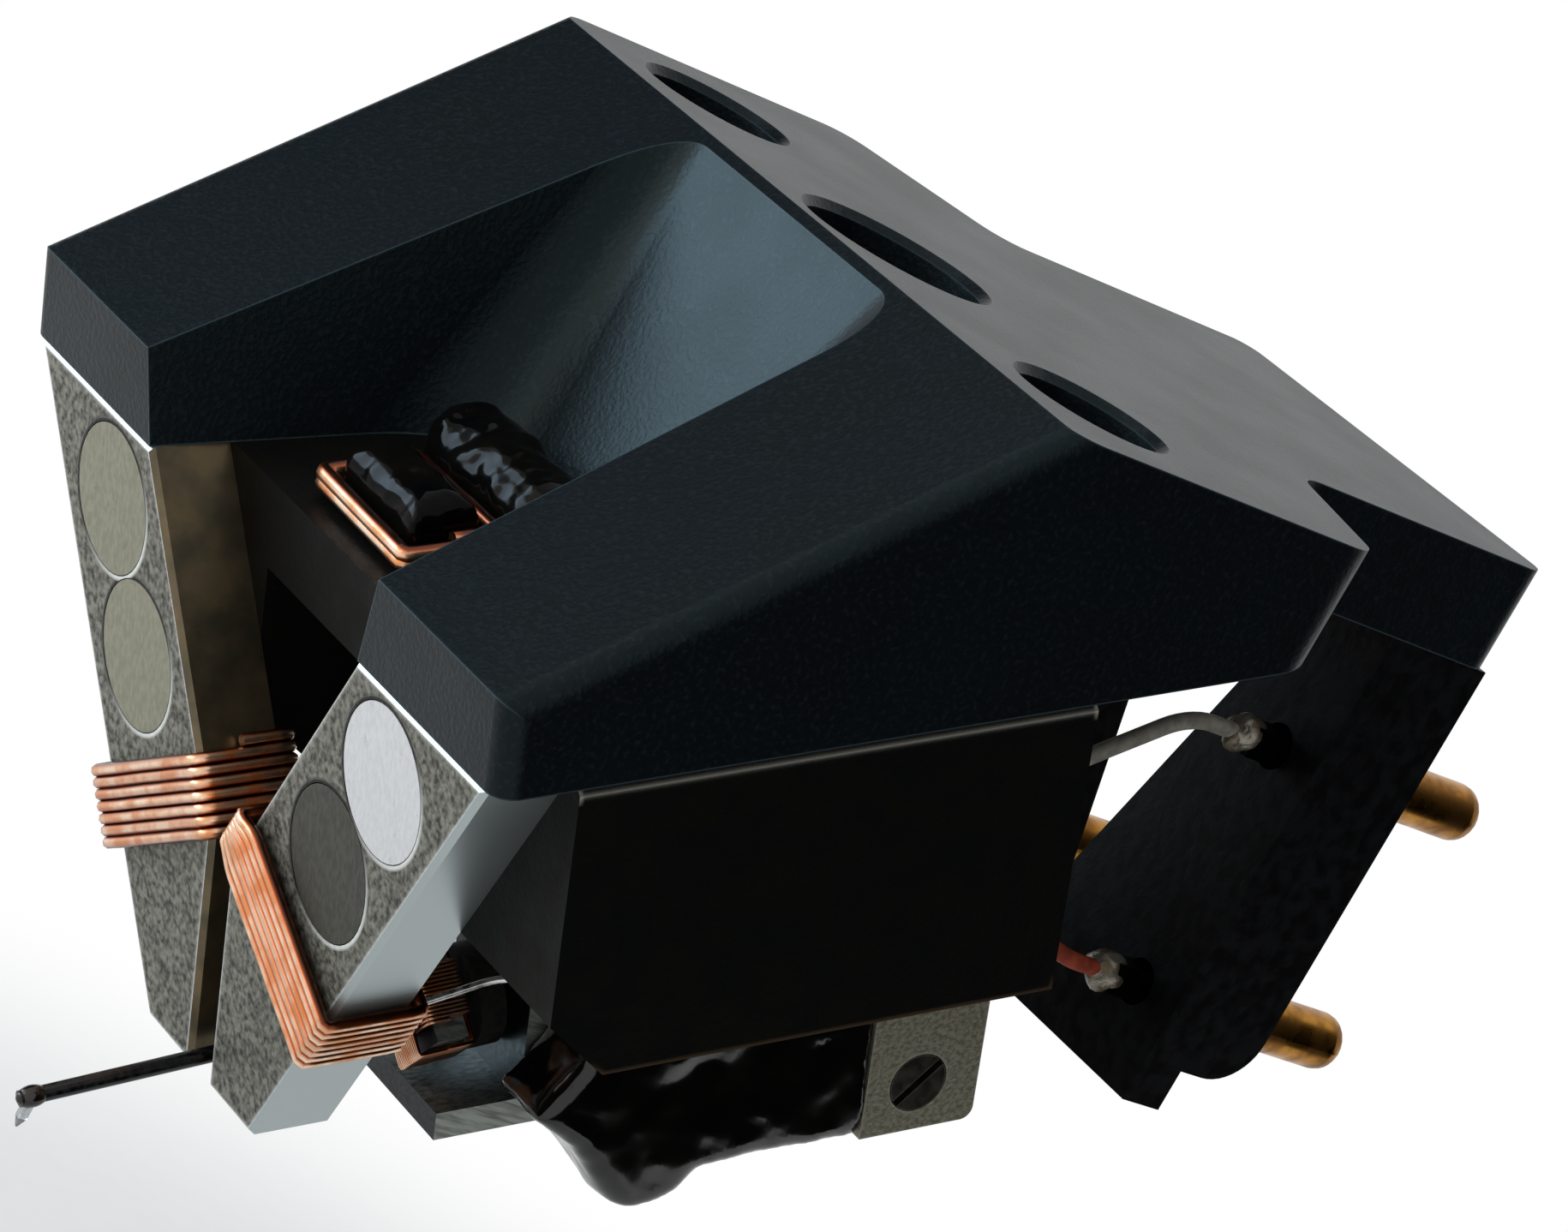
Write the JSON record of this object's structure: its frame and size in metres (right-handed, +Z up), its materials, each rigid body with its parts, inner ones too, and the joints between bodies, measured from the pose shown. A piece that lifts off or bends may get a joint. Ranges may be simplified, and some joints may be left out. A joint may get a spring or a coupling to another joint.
{
  "type": "phono cartridge",
  "caption": "Open-frame moving-coil phono cartridge: black headblock with a scooped front, V-shaped wound yoke, stylus on a thin cantilever and rear terminal pins.",
  "frame": {"origin": "midway between the two mounting holes, on the top mounting face", "axes": "+X to the right seen from the front, +Y back towards the terminal pins, +Z up into the headshell"},
  "size_m": [0.0178, 0.0255, 0.02],
  "materials": {
    "black_lacquer": "satin black lacquer over machined aluminium",
    "black_frame": "satin black paint",
    "plated_iron": "dull nickel plate",
    "magnet_alloy": "ground magnet alloy",
    "soft_iron": "bright plated iron",
    "copper_wire": "enamelled copper wire",
    "black_resin": "glossy black resin",
    "clamp_metal": "sanded aluminium",
    "dark_screw": "blackened steel",
    "spring_steel": "drawn wire",
    "brass_tube": "drawn tube",
    "damper_rubber": "moulded rubber",
    "aluminium_tube": "drawn tube",
    "boron_rod": "dark polished rod",
    "diamond": "ground stone",
    "black_board": "black moulded board",
    "gold_pin": "gold plate",
    "lead_sleeve": "coloured insulation",
    "silver_lead": "tinned wire"
  },
  "bodies": {
    "cartridge_body": {"centre_damping_coil": "copper_wire", "centre_pole": "black_resin", "clamp_block": "clamp_metal", "clamp_screw": "dark_screw", "coil_lead_left": "silver_lead", "coil_lead_right": "silver_lead", "coil_potting": "black_resin", "damping_coil_left": "copper_wire", "damping_coil_right": "copper_wire", "front_yoke_left": "plated_iron", "front_yoke_right": "plated_iron", "headblock": "black_lacquer", "magnet_frame": "black_frame", "magnet_left_lower_front": "magnet_alloy", "magnet_left_lower_rear": "magnet_alloy", "magnet_left_upper_front": "magnet_alloy", "magnet_left_upper_rear": "magnet_alloy", "magnet_right_lower_front": "magnet_alloy", "magnet_right_lower_rear": "magnet_alloy", "magnet_right_upper_front": "magnet_alloy", "magnet_right_upper_rear": "magnet_alloy", "output_lead_left_lower": "lead_sleeve", "output_lead_left_upper": "lead_sleeve", "output_lead_right_lower": "lead_sleeve", "output_lead_right_upper": "lead_sleeve", "pole_holder": "black_resin", "pole_piece": "soft_iron", "suspension_wire": "spring_steel", "terminal_block_left": "black_board", "terminal_block_right": "black_board", "terminal_pin_left_lower": "gold_pin", "terminal_pin_left_upper": "gold_pin", "terminal_pin_right_lower": "gold_pin", "terminal_pin_right_upper": "gold_pin", "terminal_plate": "black_board", "wire_stub": "brass_tube"},
    "damper_seat": {"damper": "damper_rubber"},
    "stylus_arm": {"armature": "soft_iron", "winding_left": "copper_wire", "winding_right": "copper_wire", "joint_pipe": "aluminium_tube", "cantilever": "boron_rod", "stylus_tip": "diamond"}
  },
  "joints": [
    {"name": "stylus_lift", "type": "hinge", "parent": "cartridge_body", "child": "damper_seat", "pos_m": [0, -0.00046, -0.01553], "axis": [-1, 0, 0], "range_deg": [-1.2, 2.8], "stiffness_Nm_per_rad": 0.0065},
    {"name": "stylus_swing", "type": "hinge", "parent": "damper_seat", "child": "stylus_arm", "pos_m": [0, -0.00046, -0.01553], "axis": [0, -0.4802, 0.8771], "range_deg": [-2, 2], "stiffness_Nm_per_rad": 0.0065}
  ]
}
